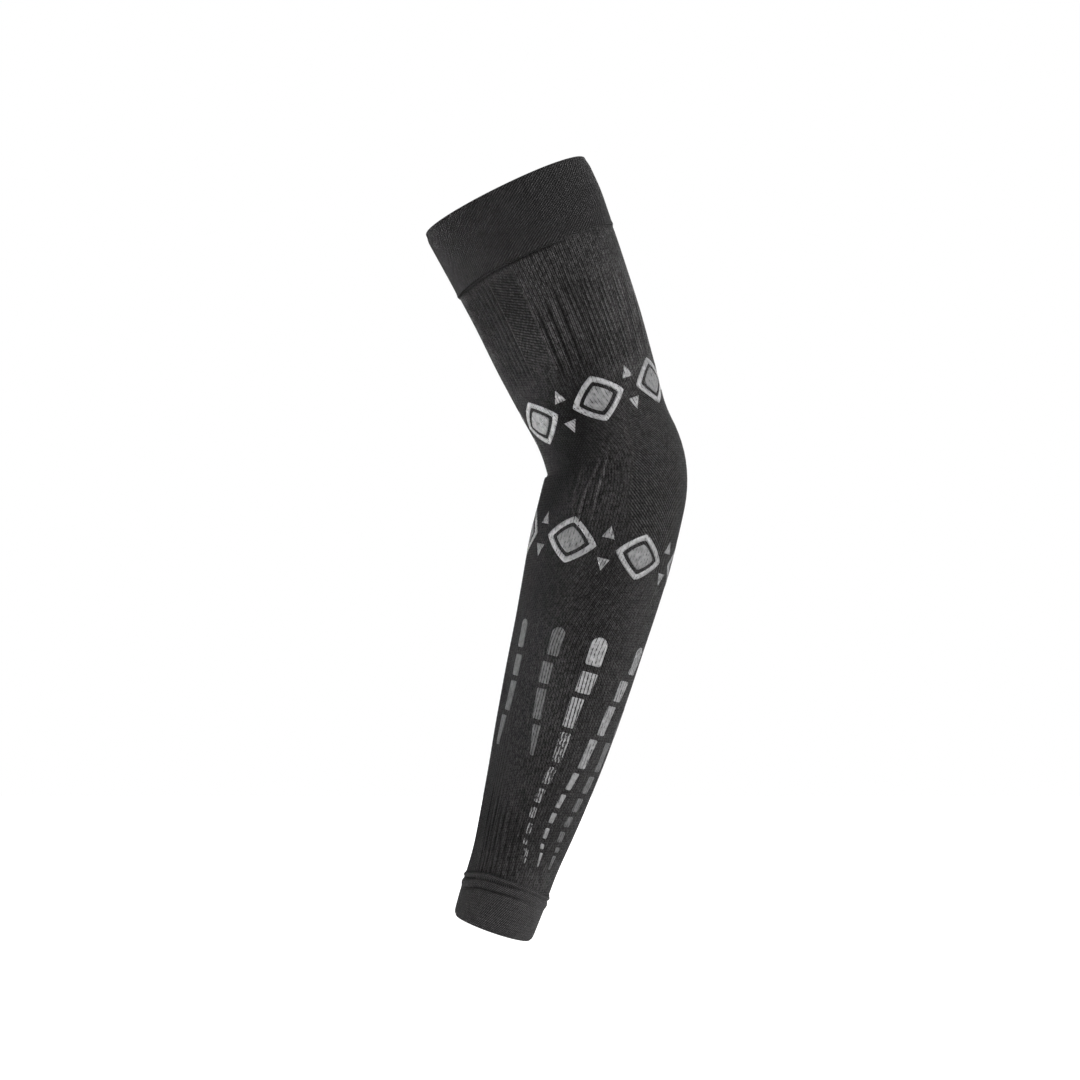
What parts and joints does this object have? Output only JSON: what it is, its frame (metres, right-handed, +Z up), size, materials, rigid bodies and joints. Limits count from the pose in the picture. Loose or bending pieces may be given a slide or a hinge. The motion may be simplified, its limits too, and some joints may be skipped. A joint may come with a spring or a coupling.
{
  "type": "arm compression sleeve",
  "caption": "Knitted arm compression sleeve: a hollow tapered tube bent lightly at the elbow, with ribbed zones, a deep turned upper cuff and a rolled wrist cuff",
  "frame": {"origin": "the middle of the elbow, on the centre line that runs through both limbs of the sleeve", "axes": "+Z up towards the upper arm, +X towards the point of the elbow, the bend lies in the XZ plane and +Y is one side of the arm"},
  "size_m": [0.1464, 0.0908, 0.4377],
  "materials": {
    "knit": "charcoal ribbed nylon and elastane knit, matt",
    "cuff": "charcoal fine plain knit, turned double, matt",
    "print": "thin silver grey heat-pressed film on the knit"
  },
  "bodies": {
    "root": {"knit_tube": "knit", "upper_cuff": "cuff", "wrist_cuff": "cuff"}
  },
  "joints": []
}
